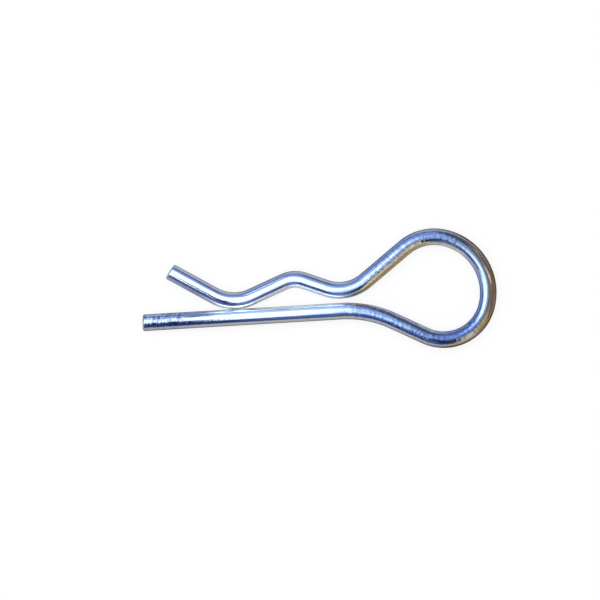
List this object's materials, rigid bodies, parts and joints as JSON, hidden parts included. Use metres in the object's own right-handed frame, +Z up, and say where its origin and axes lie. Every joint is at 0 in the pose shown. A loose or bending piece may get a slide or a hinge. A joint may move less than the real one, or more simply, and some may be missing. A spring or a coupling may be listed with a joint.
{
  "type": "hitch pin clip",
  "caption": "Spring wire R clip with a straight leg, a humped leg and a round spring loop, pushed through a pin's cross hole to keep the pin in place.",
  "frame": {"origin": "under the middle of the clip's outline, on the surface it lies on", "axes": "+X along the straight leg towards the spring loop, +Y from the straight leg towards the humped leg, +Z up out of the plane of the wire"},
  "size_m": [0.0652, 0.022, 0.003],
  "materials": {
    "zinc_plated_wire": "bright zinc plate with a clear blue passivate over drawn spring steel wire"
  },
  "bodies": {
    "root": {"clip_wire": "zinc_plated_wire"}
  },
  "joints": []
}
